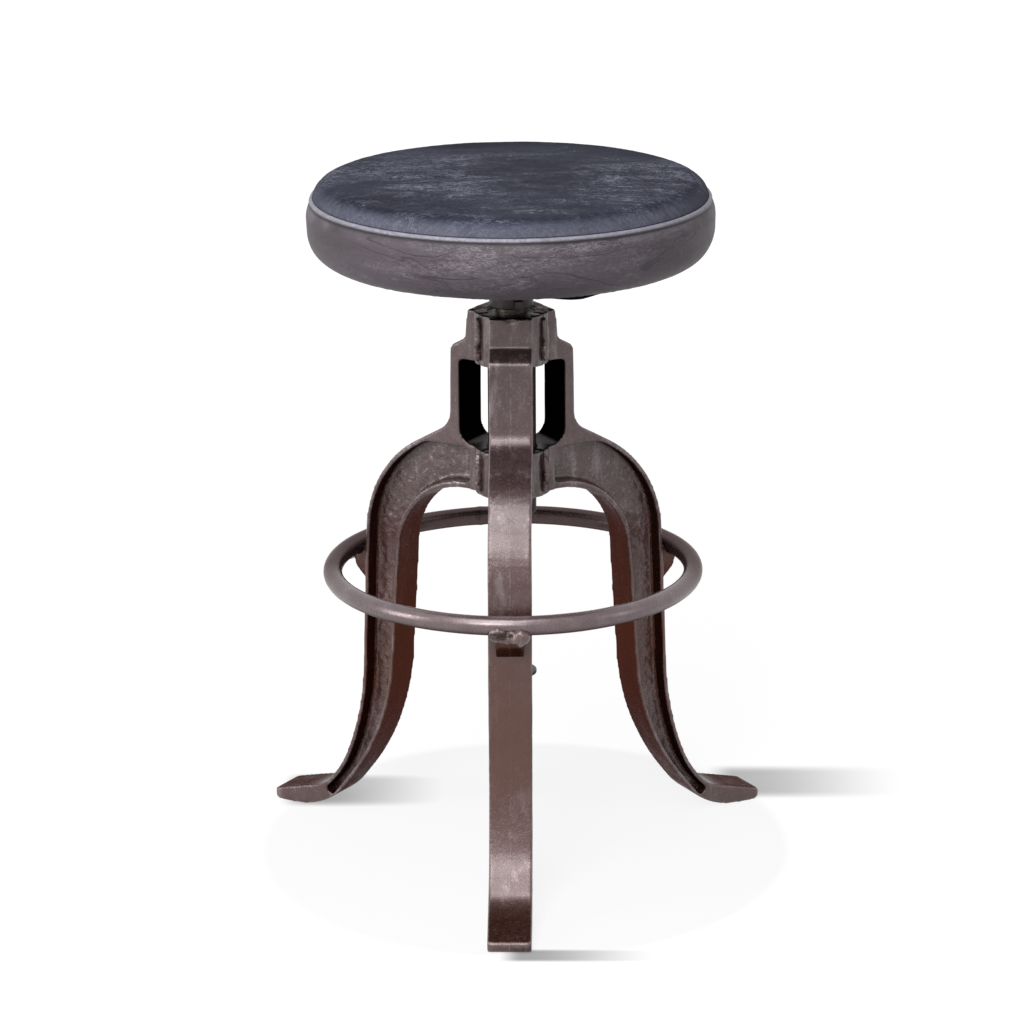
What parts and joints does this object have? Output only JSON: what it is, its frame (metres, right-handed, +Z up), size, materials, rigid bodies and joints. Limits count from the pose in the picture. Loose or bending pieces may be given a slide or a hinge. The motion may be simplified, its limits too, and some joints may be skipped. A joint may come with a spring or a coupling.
{
  "type": "machinist stool",
  "caption": "Round crowned leather seat on a rising steel screw, carried by three cast-iron I-section legs joined at a hub, with a round-bar foot ring outside the legs.",
  "frame": {"origin": "on the seat's axis, in the plane of the feet", "axes": "+Z up along the seat's axis; one leg points along -Y, the others stand at 120 degrees to it"},
  "size_m": [0.5132, 0.4851, 0.7031],
  "materials": {
    "cast_iron": "dark brown waxed casting skin, semi-gloss",
    "dark_steel": "blackened steel, semi-gloss",
    "bright_steel": "oiled machined steel",
    "weld_metal": "lumpy weld bead under the same dark wax",
    "plywood": "bare plywood",
    "dust_cloth": "thin black cloth",
    "foam": "open-cell foam",
    "top_leather": "worn charcoal leather, satin",
    "band_leather": "worn grey-brown leather, satin"
  },
  "bodies": {
    "frame": {"leg_front": "cast_iron", "leg_left": "cast_iron", "leg_right": "cast_iron", "sleeve": "dark_steel", "hub_weld_upper_left": "weld_metal", "hub_weld_upper_right": "weld_metal", "hub_weld_upper_back": "weld_metal", "hub_weld_lower_left": "weld_metal", "hub_weld_lower_right": "weld_metal", "hub_weld_lower_back": "weld_metal", "foot_ring": "dark_steel", "ring_bracket_front": "cast_iron", "ring_bracket_left": "cast_iron", "ring_bracket_right": "cast_iron", "ring_weld_front": "weld_metal", "ring_weld_left": "weld_metal", "ring_weld_right": "weld_metal"},
    "lift": {"stop_washer": "bright_steel"},
    "seat": {"screw": "bright_steel", "stop_bolt": "bright_steel", "seat_flange": "cast_iron", "set_screw": "dark_steel", "flange_bolts": "bright_steel", "tee_nuts": "bright_steel", "seat_board": "plywood", "dust_cover": "dust_cloth", "foam_pad": "foam", "leather_top": "top_leather", "side_band": "band_leather", "piping": "band_leather"}
  },
  "joints": [
    {"name": "seat_lift", "type": "slide", "parent": "frame", "child": "lift", "axis": [0, 0, 1], "range_m": [-0.003, 0.168]},
    {"name": "seat_turn", "type": "hinge", "parent": "lift", "child": "seat", "pos_m": [0, 0, 0], "axis": [0, 0, 1], "range_deg": [-170, 9490]}
  ],
  "couplings": [
    {"joint": "seat_lift", "follows": "seat_turn", "m_per_rad": 0.0010106}
  ]
}
